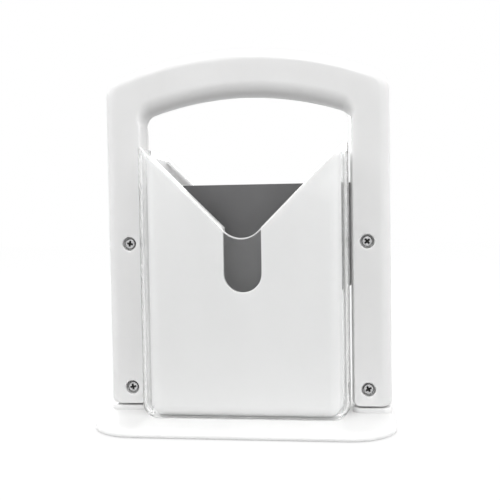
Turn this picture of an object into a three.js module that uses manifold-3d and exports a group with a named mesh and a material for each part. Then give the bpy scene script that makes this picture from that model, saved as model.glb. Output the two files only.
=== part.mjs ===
// Bagel guillotine slicer, in millimetres.
// +Z is up and the front is towards -Y. The blade lies in the plane Y = 0, the base is
// centred under it, and Z = 0 is the surface that the feet stand on. The handle, with
// its blade and two clear shields, lifts straight up off the base and its holder.

import * as THREE from 'three';
import { mergeVertices } from 'three/addons/utils/BufferGeometryUtils.js';
import loadManifold from 'manifold-3d';

const wasm = await loadManifold();
wasm.setup();

// Clearances
const FIT = 0.3;
const OVERRUN = 3;

// Base plate and its feet
const BASE_WIDTH = 190;
const BASE_DEPTH = 130;
const BASE_THICKNESS = 4;
const BASE_CORNER = 30;
const BASE_EDGE_ROUND = 3.6;
const LANDING_HEIGHT = 3;
const LANDING_INSET = 0.5;
const LANDING_CORNER = 5;
const LANDING_EDGE_ROUND = 0.6;
const FOOT_DIAMETER = 16;
const FOOT_THICKNESS = 2;
const FOOT_STANDOFF = 0.8;
const FOOT_EDGE_ROUND = 0.4;
const FOOT_INSET_X = 24;
const FOOT_INSET_Y = 20;

// Bagel holder: two like mouldings with the blade's slot between them
const HOLDER_DEPTH = 60.6;
const HOLDER_HEIGHT = 168;
const HOLDER_WALL = 2.5;
const HOLDER_FLOOR = 4;
const HOLDER_CORNER = 9;
const HOLDER_SIDE_ROUND = 8.5;
const HOLDER_BOTTOM_ROUND = 8;
const HOLDER_NOTCH_HEIGHT = 109.2;
const HOLDER_LIP_DEPTH = 8;
const HOLDER_LIP_THICKNESS = 2;
const BLADE_SLOT = 4;
const THUMB_SLOT_WIDTH = 24.2;
const THUMB_SLOT_HEIGHT = 80.3;

// Clear shields
const SHIELD_WALL = 2.2;
const SHIELD_GAP = 2.4;
const SHIELD_LEG_GAP = 1;
const SHIELD_HEIGHT = 173.3;
const SHIELD_CORNER = 10;
const SHIELD_SIDE_ROUND = 9.5;
const SHIELD_BOTTOM_ROUND = 1.6;
const SHIELD_LIP_GAP = 0.6;
const SHIELD_NOTCH_HEIGHT = 108.6;
const SHIELD_NOTCH_ROUND = 15.2;
const FLANGE_THICKNESS = 2;
const FLANGE_WIDTH = 21;
const NOTCH_HALF_ANGLE = Math.PI / 4;

// Handle shells
const HANDLE_WIDTH = 187;
const HANDLE_HEIGHT = 233;
const HANDLE_DEPTH = 23;
const LEG_WIDTH = 25.5;
const LEG_CLEARANCE = 1;
const LEG_END_CORNER = 3.5;
const LEG_INNER_ROUND = 2.2;
const LEG_INNER_ROUND_DEPTH = 9.5;
const GRIP_HEIGHT = 30;
const ARCH_RADIUS = 234;
const SHOULDER_RADIUS = 14;
const GRIP_UNDER_RADIUS = 198;
const THROAT_RADIUS = 8;
const OUTER_EDGE_ROUND = 7;
const GRIP_UNDER_ROUND = 10;
const SHELL_WALL = 2.5;
const SHELL_INNER_ROUND = 0.3;

// Blade
const BLADE_THICKNESS = 1;
const BLADE_SIDE_GAP = 3.4;
const BLADE_ABOVE_SCREW = 38.3;
const BLADE_BELOW_SCREW = 28.6;
const BLADE_EAR_END_GAP = 3;
const BLADE_TIP_CLEARANCE = 3;
const BLADE_EDGE_RISE = 15;
const BLADE_GRIND_HEIGHT = 6;
const BLADE_EDGE_THICKNESS = 0.2;
const SCALLOP_PITCH = 7;
const SCALLOP_DEPTH = 1.4;

// Handle screws
const HANDLE_SCREW_INSET = 10.4;
const LOWER_SCREW_RISE = 11.3;
const UPPER_SCREW_RISE = 107.4;
const HANDLE_SCREW_DIAMETER = 3;
const HANDLE_HEAD_DIAMETER = 6.6;
const HANDLE_HEAD_HEIGHT = 2;
const HANDLE_HEAD_EDGE = 0.8;
const HANDLE_SCREW_TIP = 1.5;
const HANDLE_CROSS_LENGTH = 4.2;
const HANDLE_CROSS_WIDTH = 1.1;
const HANDLE_CROSS_DEPTH = 1.4;
const RECESS_DIAMETER = 9.2;
const RECESS_DEPTH = 4;
const RECESS_WALL = 1.6;
const REAR_BOSS_DIAMETER = 8;
const REAR_BOSS_FLOOR = 1.2;

// Holder screws
const HOLDER_SCREW_INSET_X = 20.4;
const HOLDER_SCREW_INSET_Y = 13.3;
const HOLDER_SCREW_DIAMETER = 3;
const HOLDER_HEAD_DIAMETER = 5.8;
const HOLDER_HEAD_HEIGHT = 1.6;
const HOLDER_SCREW_TIP = 0.8;
const HOLDER_SCREW_COVER = 1;
const HOLDER_CROSS_LENGTH = 3.4;
const HOLDER_CROSS_WIDTH = 0.9;
const HOLDER_CROSS_DEPTH = 1.1;

// Counts of faces
const CORNER_STEPS = 5;
const LEG_END_STEPS = 3;
const BASE_CORNER_STEPS = 8;
const ARCH_STEPS = 8;
const ROUND_STEPS = 4;
const HOLE_SIDES = 12;
const HEAD_SIDES = 20;
const FOOT_SIDES = 24;
const THUMB_SLOT_STEPS = 12;
const NOTCH_STEPS = 8;
const SCALLOP_STEPS = 4;

// The largest share of a corner or of a thickness that its rounding may take
const ROUND_LIMIT_SHARE = 0.95;
const EDGE_LIMIT_SHARE = 0.9;

// Heights that the driving sizes lead to
const baseTop = FOOT_STANDOFF + BASE_THICKNESS;
const holderBottom = baseTop + FIT;
const holderTop = holderBottom + HOLDER_HEIGHT;
const shieldBottom = baseTop + FIT;
const shieldTop = shieldBottom + SHIELD_HEIGHT;
const legBottom = baseTop + LANDING_HEIGHT + LEG_CLEARANCE;
const handleTop = legBottom + HANDLE_HEIGHT;
const lowerScrewHeight = legBottom + LOWER_SCREW_RISE;
const upperScrewHeight = legBottom + UPPER_SCREW_RISE;

// Half widths and depths that several pieces share, from the handle's sides inwards
const legOuterSide = HANDLE_WIDTH / 2;
const legInnerSide = legOuterSide - LEG_WIDTH;
const shieldSide = legInnerSide - SHIELD_LEG_GAP;
const shieldInnerSide = shieldSide - SHIELD_WALL;
const holderSide = shieldInnerSide - SHIELD_GAP;
const holderFront = HOLDER_DEPTH / 2;
const shieldFront = holderFront + SHIELD_GAP + SHIELD_WALL;
const handleFront = HANDLE_DEPTH / 2;
const screwSide = legInnerSide + HANDLE_SCREW_INSET;
const bladeFace = BLADE_THICKNESS / 2;
const flangeBack = bladeFace + FIT;
const flangeFace = flangeBack + FLANGE_THICKNESS;
const flangeBottom = legBottom + SHELL_WALL + FIT;
const flangeSide = shieldSide + FLANGE_WIDTH;
const shellSeam = FIT / 2;
const handleScrewHole = HANDLE_SCREW_DIAMETER / 2 + FIT;
const holderScrewHole = HOLDER_SCREW_DIAMETER / 2 + FIT;

// Solids

function turnOutward(geometry) {
  const place = geometry.getAttribute('position');
  const index = geometry.getIndex().array;
  const [a, b, c] = [new THREE.Vector3(), new THREE.Vector3(), new THREE.Vector3()];
  let volume = 0;
  for (let i = 0; i < index.length; i += 3) {
    a.fromBufferAttribute(place, index[i]);
    b.fromBufferAttribute(place, index[i + 1]);
    c.fromBufferAttribute(place, index[i + 2]);
    volume += a.dot(b.cross(c));
  }
  if (volume < 0) {
    for (let i = 0; i < index.length; i += 3) {
      [index[i + 1], index[i + 2]] = [index[i + 2], index[i + 1]];
    }
  }
}

function toSolid(source) {
  const bare = source.clone();
  bare.deleteAttribute('normal');
  bare.deleteAttribute('uv');
  const geometry = mergeVertices(bare);
  turnOutward(geometry);
  return new wasm.Manifold(new wasm.Mesh({
    numProp: 3,
    vertProperties: new Float32Array(geometry.getAttribute('position').array),
    triVerts: new Uint32Array(geometry.getIndex().array),
  }));
}

function toGeometry(solid) {
  const mesh = solid.getMesh();
  const geometry = new THREE.BufferGeometry();
  geometry.setAttribute('position', new THREE.BufferAttribute(mesh.vertProperties, 3));
  geometry.setIndex(new THREE.BufferAttribute(mesh.triVerts, 1));
  geometry.computeVertexNormals();
  return geometry;
}

function join(solid, ...others) {
  return others.reduce((whole, other) => whole.add(other), solid);
}

function cut(solid, ...others) {
  return others.reduce((rest, other) => rest.subtract(other), solid);
}

function boxBetween(low, high) {
  const size = high.clone().sub(low);
  const middle = low.clone().add(high).multiplyScalar(0.5);
  const box = new THREE.BoxGeometry(size.x, size.y, size.z);
  return toSolid(box.translate(middle.x, middle.y, middle.z));
}

// A round bar along Y between two depths
function barAlongY(x, z, radius, from, to, sides) {
  const bar = new THREE.CylinderGeometry(radius, radius, to - from, sides);
  return toSolid(bar.translate(x, (from + to) / 2, z));
}

// A round bar along Z between two heights
function barAlongZ(x, y, radius, from, to, sides) {
  const bar = new THREE.CylinderGeometry(radius, radius, to - from, sides);
  return toSolid(bar.rotateX(-Math.PI / 2).translate(x, y, (from + to) / 2));
}

// A front-view outline, its points in X and Z, carried through from one depth to another
function frontViewSlab(points, from, to) {
  const shape = new THREE.Shape(points);
  const slab = new THREE.ExtrudeGeometry(shape, { depth: to - from, bevelEnabled: false });
  return toSolid(slab.rotateX(Math.PI / 2).translate(0, to, 0));
}

function arc(centreX, centreZ, radius, from, to, steps) {
  const points = [];
  for (let step = 0; step <= steps; step += 1) {
    const angle = from + (to - from) * step / steps;
    const x = centreX + radius * Math.cos(angle);
    const z = centreZ + radius * Math.sin(angle);
    points.push(new THREE.Vector2(x, z));
  }
  return points;
}

// Rounded blocks
// Their outline is a ring of rim points, each with its place in the front view, the
// direction into the material and the rounding of the front edge there. A rounding is a
// quarter of an ellipse: how far it goes in across the front, and how far back.

function rounding(across, back = across) {
  return { across, back };
}

function rimPoint(x, z, inX, inZ, round) {
  return { x, z, inX, inZ, round };
}

// An arc of rim points, from one rounding to another. Bulge is 1 where the arc bulges
// out of the material and -1 where it is a hollow in it.
function rimArc(centre, radius, from, to, steps, bulge, first, last = first) {
  const points = [];
  for (let step = 0; step <= steps; step += 1) {
    const share = step / steps;
    const angle = from + (to - from) * share;
    const [x, z] = [Math.cos(angle), Math.sin(angle)];
    const across = THREE.MathUtils.lerp(first.across, last.across, share);
    const back = THREE.MathUtils.lerp(first.back, last.back, share);
    const [inX, inZ] = [-bulge * x, -bulge * z];
    points.push(rimPoint(centre.x + radius * x, centre.y + radius * z, inX, inZ, rounding(across, back)));
  }
  return points;
}

// The left half of a rim from its right half, which runs anticlockwise
function mirrorRim(half) {
  return half.map((p) => ({ ...p, x: -p.x, inX: -p.inX })).reverse();
}

function ringsToSolid(rings) {
  const count = rings[0].length;
  const places = rings.flat().flatMap((p) => [p.x, p.y, p.z]);
  const faces = [];
  for (let ring = 0; ring + 1 < rings.length; ring += 1) {
    for (let i = 0; i < count; i += 1) {
      const here = ring * count + i;
      const next = ring * count + (i + 1) % count;
      faces.push(here, next, next + count, here, next + count, here + count);
    }
  }
  const cap = (ring, backwards) => {
    const flat = rings[ring].map((p) => new THREE.Vector2(p.x, p.z));
    for (const face of THREE.ShapeUtils.triangulateShape(flat, [])) {
      const corners = face.map((i) => i + ring * count);
      faces.push(...(backwards ? corners.reverse() : corners));
    }
  };
  cap(0, true);
  cap(rings.length - 1, false);
  const geometry = new THREE.BufferGeometry();
  geometry.setAttribute('position', new THREE.Float32BufferAttribute(places, 3));
  geometry.setIndex(faces);
  return toSolid(geometry);
}

// The block inside a rim from the depth back to the depth front, rounded at the front
function roundedBlock(rim, back, front) {
  const rings = [rim.map((p) => new THREE.Vector3(p.x, back, p.z))];
  for (let step = 0; step <= ROUND_STEPS; step += 1) {
    const angle = step / ROUND_STEPS * Math.PI / 2;
    rings.push(rim.map((p) => {
      const inset = p.round.across * (1 - Math.cos(angle));
      const depth = front + p.round.back * (1 - Math.sin(angle));
      return new THREE.Vector3(p.x + p.inX * inset, depth, p.z + p.inZ * inset);
    }));
  }
  return ringsToSolid(rings);
}

// Base plate: a flat moulding with a full round on its upper edge, a raised landing under
// each leg of the handle, pockets for the feet and countersunk holes for the holder's screws

// The rim of a plate from its left side to its right, seen from above
function plateRim(left, right, depth, corner, steps, round) {
  const y = depth / 2 - corner;
  const places = [[right - corner, -y], [right - corner, y], [left + corner, y], [left + corner, -y]];
  return places.flatMap(([centreX, centreY], turn) => rimArc(
    new THREE.Vector2(centreX, centreY), corner,
    (turn - 1) * Math.PI / 2, turn * Math.PI / 2, steps, 1, rounding(round),
  ));
}

function plateWithLandings() {
  const round = Math.min(BASE_EDGE_ROUND, BASE_THICKNESS * EDGE_LIMIT_SHARE);
  const rim = plateRim(
    -BASE_WIDTH / 2, BASE_WIDTH / 2, BASE_DEPTH, BASE_CORNER, BASE_CORNER_STEPS, round,
  );
  const [near, far] = [legInnerSide + LANDING_INSET, legOuterSide - LANDING_INSET];
  const depth = HANDLE_DEPTH - LANDING_INSET * 2;
  const landings = [[-far, -near], [near, far]].map(([left, right]) => roundedBlock(
    plateRim(left, right, depth, LANDING_CORNER, CORNER_STEPS, LANDING_EDGE_ROUND),
    -BASE_THICKNESS / 2, -BASE_THICKNESS - LANDING_HEIGHT,
  ));
  return join(roundedBlock(rim, 0, -BASE_THICKNESS), ...landings);
}

function footPlaces() {
  const [x, y] = [BASE_WIDTH / 2 - FOOT_INSET_X, BASE_DEPTH / 2 - FOOT_INSET_Y];
  return { front_left: [-x, -y], front_right: [x, -y], rear_left: [-x, y], rear_right: [x, y] };
}

function holderScrewPlaces() {
  const [x, y] = [holderSide - HOLDER_SCREW_INSET_X, holderFront - HOLDER_SCREW_INSET_Y];
  return { front_left: [-x, -y], front_right: [x, -y], rear_left: [-x, y], rear_right: [x, y] };
}

function countersink(x, y) {
  const [wide, narrow] = [HOLDER_HEAD_DIAMETER / 2 + FIT, holderScrewHole];
  const cone = new THREE.CylinderGeometry(narrow, wide, HOLDER_HEAD_HEIGHT, HOLE_SIDES);
  const middle = FOOT_STANDOFF + FIT + HOLDER_HEAD_HEIGHT / 2;
  const seat = toSolid(cone.rotateX(Math.PI / 2).translate(x, y, middle));
  const mouth = barAlongZ(x, y, wide, FOOT_STANDOFF - OVERRUN, FOOT_STANDOFF + FIT, HOLE_SIDES);
  const shank = barAlongZ(x, y, narrow, FOOT_STANDOFF, baseTop + OVERRUN, HOLE_SIDES);
  return join(seat, mouth, shank);
}

function basePlate() {
  const upright = toGeometry(plateWithLandings());
  const plate = toSolid(upright.rotateX(-Math.PI / 2).translate(0, 0, FOOT_STANDOFF));
  const pocketTop = FOOT_THICKNESS + FIT;
  const pockets = Object.values(footPlaces()).map(([x, y]) => barAlongZ(
    x, y, FOOT_DIAMETER / 2 + FIT, FOOT_STANDOFF - OVERRUN, pocketTop, FOOT_SIDES,
  ));
  const holes = Object.values(holderScrewPlaces()).map(([x, y]) => countersink(x, y));
  return toGeometry(cut(plate, ...pockets, ...holes));
}

// Foot pad: a soft disc seated in its pocket

function footPad() {
  const radius = FOOT_DIAMETER / 2;
  const profile = [
    new THREE.Vector2(0, 0),
    new THREE.Vector2(radius - FOOT_EDGE_ROUND, 0),
    new THREE.Vector2(radius, FOOT_EDGE_ROUND),
    new THREE.Vector2(radius, FOOT_THICKNESS),
    new THREE.Vector2(0, FOOT_THICKNESS),
  ];
  const disc = new THREE.LatheGeometry(profile, FOOT_SIDES).rotateX(Math.PI / 2);
  return toGeometry(toSolid(disc));
}

// The rim of a tray: square at the top, with round lower corners. Its front edge has one
// rounding along the sides and another along the bottom.
function trayRim(side, bottom, top, corner, sideRound, bottomRound) {
  const centre = new THREE.Vector2(side - corner, bottom + corner);
  const limit = corner * ROUND_LIMIT_SHARE;
  const [below, beside] = [bottomRound, sideRound].map((round) => rounding(Math.min(round, limit)));
  const half = [
    ...rimArc(centre, corner, -Math.PI / 2, 0, CORNER_STEPS, 1, below, beside),
    rimPoint(side, top, -1, 0, beside),
  ];
  return [...half, ...mirrorRim(half)];
}

// The space over a V edge with its corner at a height and a round bottom
function notchSlab(cornerHeight, round, top, from, to) {
  const slope = 1 / Math.tan(NOTCH_HALF_ANGLE);
  const centre = cornerHeight + round / Math.sin(NOTCH_HALF_ANGLE);
  const reach = (top + OVERRUN - cornerHeight) / slope;
  const points = [
    ...arc(0, centre, round, Math.PI + NOTCH_HALF_ANGLE, Math.PI * 2 - NOTCH_HALF_ANGLE, NOTCH_STEPS),
    new THREE.Vector2(reach, top + OVERRUN),
    new THREE.Vector2(-reach, top + OVERRUN),
  ];
  return frontViewSlab(points, from, to);
}

// Holder wall: one half of the bagel holder, with its floor, sides and V notch

function thumbSlotCutter() {
  const radius = THUMB_SLOT_WIDTH / 2;
  const centre = holderBottom + THUMB_SLOT_HEIGHT + radius;
  const points = [
    ...arc(0, centre, radius, Math.PI, Math.PI * 2, THUMB_SLOT_STEPS),
    new THREE.Vector2(radius, holderTop),
    new THREE.Vector2(-radius, holderTop),
  ];
  return frontViewSlab(points, -holderFront - OVERRUN, -BLADE_SLOT / 2 + OVERRUN);
}

// The lip turned back along the V edge, with the notch above it still filled
function notchLip(outside) {
  const corner = holderBottom + HOLDER_NOTCH_HEIGHT - HOLDER_LIP_THICKNESS / Math.sin(NOTCH_HALF_ANGLE);
  const slab = notchSlab(
    corner, THUMB_SLOT_WIDTH / 2, holderTop, -holderFront, -holderFront + HOLDER_LIP_DEPTH,
  );
  return slab.intersect(outside);
}

function holderWall() {
  const outerRim = trayRim(
    holderSide, holderBottom, holderTop, HOLDER_CORNER, HOLDER_SIDE_ROUND, HOLDER_BOTTOM_ROUND,
  );
  const innerRim = trayRim(
    holderSide - HOLDER_WALL, holderBottom + HOLDER_FLOOR, holderTop + OVERRUN,
    HOLDER_CORNER - HOLDER_WALL, HOLDER_SIDE_ROUND - HOLDER_WALL, HOLDER_BOTTOM_ROUND - HOLDER_WALL,
  );
  const outside = roundedBlock(outerRim, -BLADE_SLOT / 2, -holderFront);
  const inside = roundedBlock(innerRim, OVERRUN, -holderFront + HOLDER_WALL);
  const tray = join(cut(outside, inside), notchLip(outside));
  const notch = notchSlab(
    holderBottom + HOLDER_NOTCH_HEIGHT, THUMB_SLOT_WIDTH / 2, holderTop, -holderFront - OVERRUN, OVERRUN,
  );
  const pilotTop = holderBottom + HOLDER_FLOOR - HOLDER_SCREW_COVER;
  const { front_left: left, front_right: right } = holderScrewPlaces();
  const pilots = [left, right].map(([x, y]) => barAlongZ(
    x, y, holderScrewHole, holderBottom - OVERRUN, pilotTop, HOLE_SIDES,
  ));
  return toGeometry(cut(tray, notch, thumbSlotCutter(), ...pilots));
}

// Shield: a clear cover in front of a holder wall, open below, with a flange on each
// side that is clamped between the handle shells

function shieldFlange(side) {
  const [inner, outer] = [side * (shieldInnerSide + FIT), side * flangeSide];
  const flange = boxBetween(
    new THREE.Vector3(Math.min(inner, outer), -flangeFace, flangeBottom),
    new THREE.Vector3(Math.max(inner, outer), -flangeBack, shieldTop),
  );
  const holes = [lowerScrewHeight, upperScrewHeight].map((height) => barAlongY(
    side * screwSide, height, handleScrewHole, -flangeFace - OVERRUN, OVERRUN, HOLE_SIDES,
  ));
  return cut(flange, ...holes);
}

// The opening below a shield leaves a lip at its lower corners, clear of the holder
function shieldMouth() {
  const rim = trayRim(
    holderSide + SHIELD_LIP_GAP, shieldBottom - SHIELD_CORNER - OVERRUN, shieldBottom + SHIELD_CORNER,
    SHIELD_CORNER, SHIELD_SIDE_ROUND - SHIELD_WALL, SHIELD_BOTTOM_ROUND,
  );
  return roundedBlock(rim, OVERRUN, -shieldFront + SHIELD_WALL);
}

function shield() {
  const outerRim = trayRim(
    shieldSide, shieldBottom, shieldTop, SHIELD_CORNER, SHIELD_SIDE_ROUND, SHIELD_BOTTOM_ROUND,
  );
  const innerRim = trayRim(
    shieldInnerSide, shieldBottom + SHIELD_WALL, shieldTop + OVERRUN,
    SHIELD_CORNER - SHIELD_WALL, SHIELD_SIDE_ROUND - SHIELD_WALL, SHIELD_BOTTOM_ROUND,
  );
  const outside = roundedBlock(outerRim, -flangeBack, -shieldFront);
  const inside = roundedBlock(innerRim, OVERRUN, -shieldFront + SHIELD_WALL);
  const notch = notchSlab(
    shieldBottom + SHIELD_NOTCH_HEIGHT, SHIELD_NOTCH_ROUND, shieldTop, -shieldFront - OVERRUN, OVERRUN,
  );
  const tray = cut(outside, inside, shieldMouth(), notch);
  return toGeometry(join(tray, shieldFlange(-1), shieldFlange(1)));
}

// Handle shells: an arch with two legs, split down the middle of its depth

// The rounding of the hollow behind an edge, where the wall between them is an inset
function insetRounding(inset, across, back = across) {
  return rounding(Math.max(across - inset, SHELL_INNER_ROUND), Math.max(back - inset, SHELL_INNER_ROUND));
}

function legInnerRounding(inset) {
  return insetRounding(inset, LEG_INNER_ROUND, LEG_INNER_ROUND_DEPTH);
}

// The circle that rounds the corner between an upright side and an arch over it
function shoulderCircle(side, archCentre, archRadius, radius) {
  const x = side - radius;
  const rise = Math.sqrt((archRadius - radius) ** 2 - x ** 2);
  return { centre: new THREE.Vector2(x, archCentre + rise), angle: Math.atan2(rise, x) };
}

function gripUnderRim(inset) {
  const archCentre = handleTop - GRIP_HEIGHT - GRIP_UNDER_RADIUS;
  const [side, radius] = [legInnerSide + inset, GRIP_UNDER_RADIUS + inset];
  const throat = shoulderCircle(side, archCentre, radius, THROAT_RADIUS + inset);
  const gripRound = insetRounding(inset, GRIP_UNDER_ROUND);
  const under = rimArc(
    new THREE.Vector2(0, archCentre), radius, Math.PI / 2, throat.angle, ARCH_STEPS, -1, gripRound,
  );
  const corner = rimArc(
    throat.centre, THROAT_RADIUS + inset, throat.angle, 0, CORNER_STEPS, -1,
    gripRound, legInnerRounding(inset),
  );
  return [...under, ...corner.slice(1)];
}

// The leg's lower end, where the rounding of each upright edge runs straight out
function legEndRim(inset) {
  const radius = Math.max(LEG_END_CORNER - inset, SHELL_INNER_ROUND);
  const bottom = legBottom + inset + radius;
  const inner = rimArc(
    new THREE.Vector2(legInnerSide + inset + radius, bottom), radius,
    Math.PI, Math.PI * 1.5, LEG_END_STEPS, 1, legInnerRounding(inset),
  );
  const outer = rimArc(
    new THREE.Vector2(legOuterSide - inset - radius, bottom), radius,
    Math.PI * 1.5, Math.PI * 2, LEG_END_STEPS, 1, insetRounding(inset, OUTER_EDGE_ROUND),
  );
  return [
    ...inner.map((p) => ({ ...p, inX: 1, inZ: 0 })),
    ...outer.map((p) => ({ ...p, inX: -1, inZ: 0 })),
  ];
}

function archRim(inset) {
  const archCentre = handleTop - ARCH_RADIUS;
  const [side, radius] = [legOuterSide - inset, ARCH_RADIUS - inset];
  const cornerRadius = SHOULDER_RADIUS - inset;
  const shoulder = shoulderCircle(side, archCentre, radius, cornerRadius);
  const round = insetRounding(inset, Math.min(OUTER_EDGE_ROUND, SHOULDER_RADIUS * ROUND_LIMIT_SHARE));
  const corner = rimArc(
    shoulder.centre, cornerRadius, 0, shoulder.angle, CORNER_STEPS, 1, round,
  );
  const arch = rimArc(
    new THREE.Vector2(0, archCentre), radius, shoulder.angle, Math.PI / 2, ARCH_STEPS, 1, round,
  );
  return [...corner, ...arch.slice(1)];
}

// The rim of the handle, or of its hollow where it is inset by the wall
function handleRim(inset) {
  const half = [...gripUnderRim(inset), ...legEndRim(inset), ...archRim(inset)];
  return [...half, ...mirrorRim(half.slice(1, -1))];
}

function screwPlaces() {
  const [x, low, high] = [screwSide, lowerScrewHeight, upperScrewHeight];
  return { upper_left: [-x, high], upper_right: [x, high], lower_left: [-x, low], lower_right: [x, low] };
}

// The slots in the legs' inner sides that the flanges and the blade pass through
function flangeSlots() {
  return [-1, 1].map((side) => {
    const reach = SHELL_WALL + LEG_END_CORNER;
    const [near, far] = [legInnerSide - OVERRUN, legInnerSide + reach].map((x) => side * x);
    return boxBetween(
      new THREE.Vector3(Math.min(near, far), -flangeFace - FIT, flangeBottom - FIT),
      new THREE.Vector3(Math.max(near, far), OVERRUN, shieldTop + FIT),
    );
  });
}

function hollowShell() {
  const outside = roundedBlock(handleRim(0), -shellSeam, -handleFront);
  const inside = roundedBlock(handleRim(SHELL_WALL), OVERRUN, -handleFront + SHELL_WALL);
  return cut(outside, inside, ...flangeSlots());
}

function screwBosses(diameter) {
  return Object.values(screwPlaces()).map(([x, z]) => barAlongY(
    x, z, diameter / 2, -handleFront + SHELL_WALL / 2, -flangeFace - FIT, HEAD_SIDES,
  ));
}

function frontShell() {
  const places = Object.values(screwPlaces());
  const solid = join(hollowShell(), ...screwBosses(RECESS_DIAMETER + RECESS_WALL * 2));
  const recesses = places.map(([x, z]) => barAlongY(
    x, z, RECESS_DIAMETER / 2, -handleFront - OVERRUN, -handleFront + RECESS_DEPTH, HEAD_SIDES,
  ));
  const holes = places.map(([x, z]) => barAlongY(
    x, z, handleScrewHole, -handleFront, OVERRUN, HOLE_SIDES,
  ));
  return toGeometry(cut(solid, ...recesses, ...holes));
}

function rearShell() {
  const solid = join(hollowShell(), ...screwBosses(REAR_BOSS_DIAMETER));
  const pilots = Object.values(screwPlaces()).map(([x, z]) => barAlongY(
    x, z, handleScrewHole, -handleFront + REAR_BOSS_FLOOR, OVERRUN, HOLE_SIDES,
  ));
  return toGeometry(cut(solid, ...pilots));
}

// Blade: a stamped plate with an ear into each leg and a shallow V cutting edge of
// scallops, ground on the front face

function scallopedEdge(from, to) {
  const along = to.clone().sub(from);
  const count = Math.round(along.length() / SCALLOP_PITCH);
  const upward = new THREE.Vector2(-along.y, along.x).normalize();
  const points = [];
  for (let step = 0; step < count * SCALLOP_STEPS; step += 1) {
    const depth = SCALLOP_DEPTH * Math.sin(Math.PI * (step % SCALLOP_STEPS) / SCALLOP_STEPS);
    const place = from.clone().addScaledVector(along, step / count / SCALLOP_STEPS);
    points.push(place.addScaledVector(upward, depth));
  }
  return points;
}

function bladeEdgePoints() {
  const tip = new THREE.Vector2(0, baseTop + BLADE_TIP_CLEARANCE);
  const side = shieldInnerSide - BLADE_SIDE_GAP;
  const sideHeight = tip.y + BLADE_EDGE_RISE;
  return { tip, left: new THREE.Vector2(-side, sideHeight), right: new THREE.Vector2(side, sideHeight) };
}

function bladeOutline() {
  const { tip, left, right } = bladeEdgePoints();
  const earEnd = legOuterSide - SHELL_WALL - BLADE_EAR_END_GAP;
  const top = upperScrewHeight + BLADE_ABOVE_SCREW;
  const earBottom = upperScrewHeight - BLADE_BELOW_SCREW;
  const shoulderDrop = legInnerSide - right.x;
  return [
    ...scallopedEdge(left, tip),
    ...scallopedEdge(tip, right),
    right,
    new THREE.Vector2(right.x, earBottom - shoulderDrop),
    new THREE.Vector2(legInnerSide, earBottom),
    new THREE.Vector2(earEnd, earBottom),
    new THREE.Vector2(earEnd, top),
    new THREE.Vector2(-earEnd, top),
    new THREE.Vector2(-earEnd, earBottom),
    new THREE.Vector2(-legInnerSide, earBottom),
    new THREE.Vector2(left.x, earBottom - shoulderDrop),
  ];
}

// The wedge that grinding takes off the front face along one half of the edge
function grindWedge(from, to) {
  const along = to.clone().sub(from);
  const section = new THREE.Shape([
    new THREE.Vector2(bladeFace - BLADE_EDGE_THICKNESS, 0),
    new THREE.Vector2(-bladeFace, BLADE_GRIND_HEIGHT),
    new THREE.Vector2(-bladeFace - OVERRUN, BLADE_GRIND_HEIGHT),
    new THREE.Vector2(-bladeFace - OVERRUN, -OVERRUN),
    new THREE.Vector2(bladeFace - BLADE_EDGE_THICKNESS, -OVERRUN),
  ]);
  const wedge = new THREE.ExtrudeGeometry(section, {
    depth: along.length() + OVERRUN * 2, bevelEnabled: false,
  });
  const forward = new THREE.Vector3(along.x, 0, along.y).normalize();
  const across = new THREE.Vector3(0, 1, 0);
  const upward = new THREE.Vector3().crossVectors(forward, across);
  const start = new THREE.Vector3(from.x, 0, from.y).addScaledVector(forward, -OVERRUN);
  const place = new THREE.Matrix4().makeBasis(across, upward, forward).setPosition(start);
  return toSolid(wedge.applyMatrix4(place));
}

function blade() {
  const { tip, left, right } = bladeEdgePoints();
  const plate = frontViewSlab(bladeOutline(), -bladeFace, bladeFace);
  const holes = [-screwSide, screwSide].map((x) => barAlongY(
    x, upperScrewHeight, handleScrewHole, -OVERRUN, OVERRUN, HOLE_SIDES,
  ));
  return toGeometry(cut(plate, grindWedge(left, tip), grindWedge(tip, right), ...holes));
}

// Screws: turned bodies with a cross slot in the head, standing along Y with the head
// at their lowest point

function crossSlot(headEnd, length, width, depth) {
  const [long, short] = [length / 2, width / 2];
  const bar = (x, z) => boxBetween(
    new THREE.Vector3(-x, headEnd - OVERRUN, -z),
    new THREE.Vector3(x, headEnd + depth, z),
  );
  return join(bar(long, short), bar(short, long));
}

function handleScrew() {
  const [shank, head] = [HANDLE_SCREW_DIAMETER / 2, HANDLE_HEAD_DIAMETER / 2];
  const seat = -handleFront + RECESS_DEPTH - FIT;
  const headEnd = seat - HANDLE_HEAD_HEIGHT;
  const end = handleFront - REAR_BOSS_FLOOR - FIT;
  const profile = [
    new THREE.Vector2(0, headEnd),
    new THREE.Vector2(head - HANDLE_HEAD_EDGE, headEnd),
    new THREE.Vector2(head, headEnd + HANDLE_HEAD_EDGE),
    new THREE.Vector2(head, seat),
    new THREE.Vector2(shank, seat),
    new THREE.Vector2(shank, end - HANDLE_SCREW_TIP),
    new THREE.Vector2(0, end),
  ];
  const body = toSolid(new THREE.LatheGeometry(profile, HEAD_SIDES));
  const slot = crossSlot(headEnd, HANDLE_CROSS_LENGTH, HANDLE_CROSS_WIDTH, HANDLE_CROSS_DEPTH);
  return toGeometry(cut(body, slot));
}

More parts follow.
